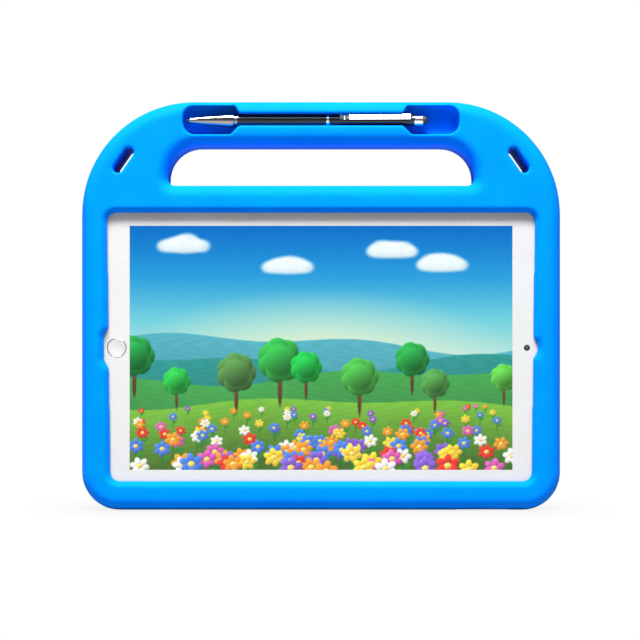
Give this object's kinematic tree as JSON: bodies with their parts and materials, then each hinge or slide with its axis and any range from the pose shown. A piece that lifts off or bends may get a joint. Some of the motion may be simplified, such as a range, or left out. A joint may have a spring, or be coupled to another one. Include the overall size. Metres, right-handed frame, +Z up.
{
  "type": "tablet case",
  "caption": "Children's foam tablet case with a built-in carrying handle, a folding rear stand, the tablet it protects and a stylus pen stowed in the handle.",
  "frame": {"origin": "under the middle of the bottom edge, on the surface that the case stands on", "axes": "+X to the right seen from the front, +Z up, the screen faces -Y"},
  "size_m": [0.272, 0.03, 0.232],
  "materials": {
    "foam": "fine-grained moulded foam skin, matte",
    "pin_steel": "plain drawn steel",
    "bush_plastic": "smooth moulded plastic",
    "housing_metal": "fine blasted and anodised",
    "cover_glass": "polished, with a pale printed border",
    "display": "lit colour picture",
    "dark_plastic": "moulded",
    "lens_black": "polished lens",
    "battery_foil": "foil pouch",
    "board_green": "solder mask",
    "white_gloss": "polished",
    "black_lacquer": "high gloss lacquer",
    "bright_chrome": "polished chrome",
    "soft_rubber": "matte conductive rubber",
    "pen_brass": "drawn"
  },
  "bodies": {
    "case": {"foam_shell": "foam", "front_lip": "foam", "hinge_pins": "pin_steel", "body_bushes": "bush_plastic"},
    "stand": {"stand_arch": "foam", "arm_bushes": "bush_plastic"},
    "tablet": {"tablet_housing": "housing_metal", "tablet_glass": "cover_glass", "tablet_display": "display", "home_switch": "dark_plastic", "charging_port": "dark_plastic", "speakers": "dark_plastic", "front_camera": "lens_black", "rear_camera": "lens_black", "rear_camera_ring": "housing_metal", "battery_cells": "battery_foil", "logic_board": "board_green"},
    "home_key": {"home_button": "white_gloss", "home_ring": "pin_steel"},
    "power_key": {"power_button": "housing_metal"},
    "volume_key": {"volume_rocker": "housing_metal"},
    "pen": {"pen_upper_barrel": "black_lacquer", "pen_clip": "bright_chrome", "pen_collar": "bright_chrome", "stylus_dome": "soft_rubber", "pen_ring": "bright_chrome", "pen_twist_cam": "white_gloss"},
    "pen_front": {"pen_lower_barrel": "black_lacquer", "pen_nose": "bright_chrome", "pen_sleeve": "pen_brass", "pen_spring": "pin_steel"},
    "refill": {"pen_refill": "pen_brass"}
  },
  "joints": [
    {"name": "stand_fold", "type": "hinge", "parent": "case", "child": "stand", "pos_m": [0, 0.00865, 0.1], "axis": [-1, 0, 0], "range_deg": [0, 120]},
    {"name": "tablet_slide", "type": "slide", "parent": "case", "child": "tablet", "axis": [0, -1, 0], "range_m": [0, 0.04], "deforming": ["front_lip"]},
    {"name": "home_press", "type": "slide", "parent": "tablet", "child": "home_key", "axis": [0, 1, 0], "range_m": [0, 0.0003], "stiffness_N_per_m": 2000},
    {"name": "power_press", "type": "slide", "parent": "tablet", "child": "power_key", "axis": [-1, 0, 0], "range_m": [0, 0.0004], "stiffness_N_per_m": 2000},
    {"name": "volume_press", "type": "slide", "parent": "tablet", "child": "volume_key", "axis": [0, 0, 1], "range_m": [0, 0.0004], "stiffness_N_per_m": 2000},
    {"name": "pen_pull", "type": "slide", "parent": "case", "child": "pen", "axis": [0, -1, 0], "range_m": [0, 0.04]},
    {"name": "pen_twist", "type": "hinge", "parent": "pen", "child": "pen_front", "pos_m": [0, -0.0094, 0.2213], "axis": [1, 0, 0], "range_deg": [0, 180]},
    {"name": "refill_slide", "type": "slide", "parent": "pen", "child": "refill", "axis": [1, 0, 0], "range_m": [0, 0.004], "deforming": ["pen_spring"]}
  ],
  "couplings": [
    {"joint": "pen_twist", "follows": "refill_slide", "rad_per_m": 785.39}
  ]
}
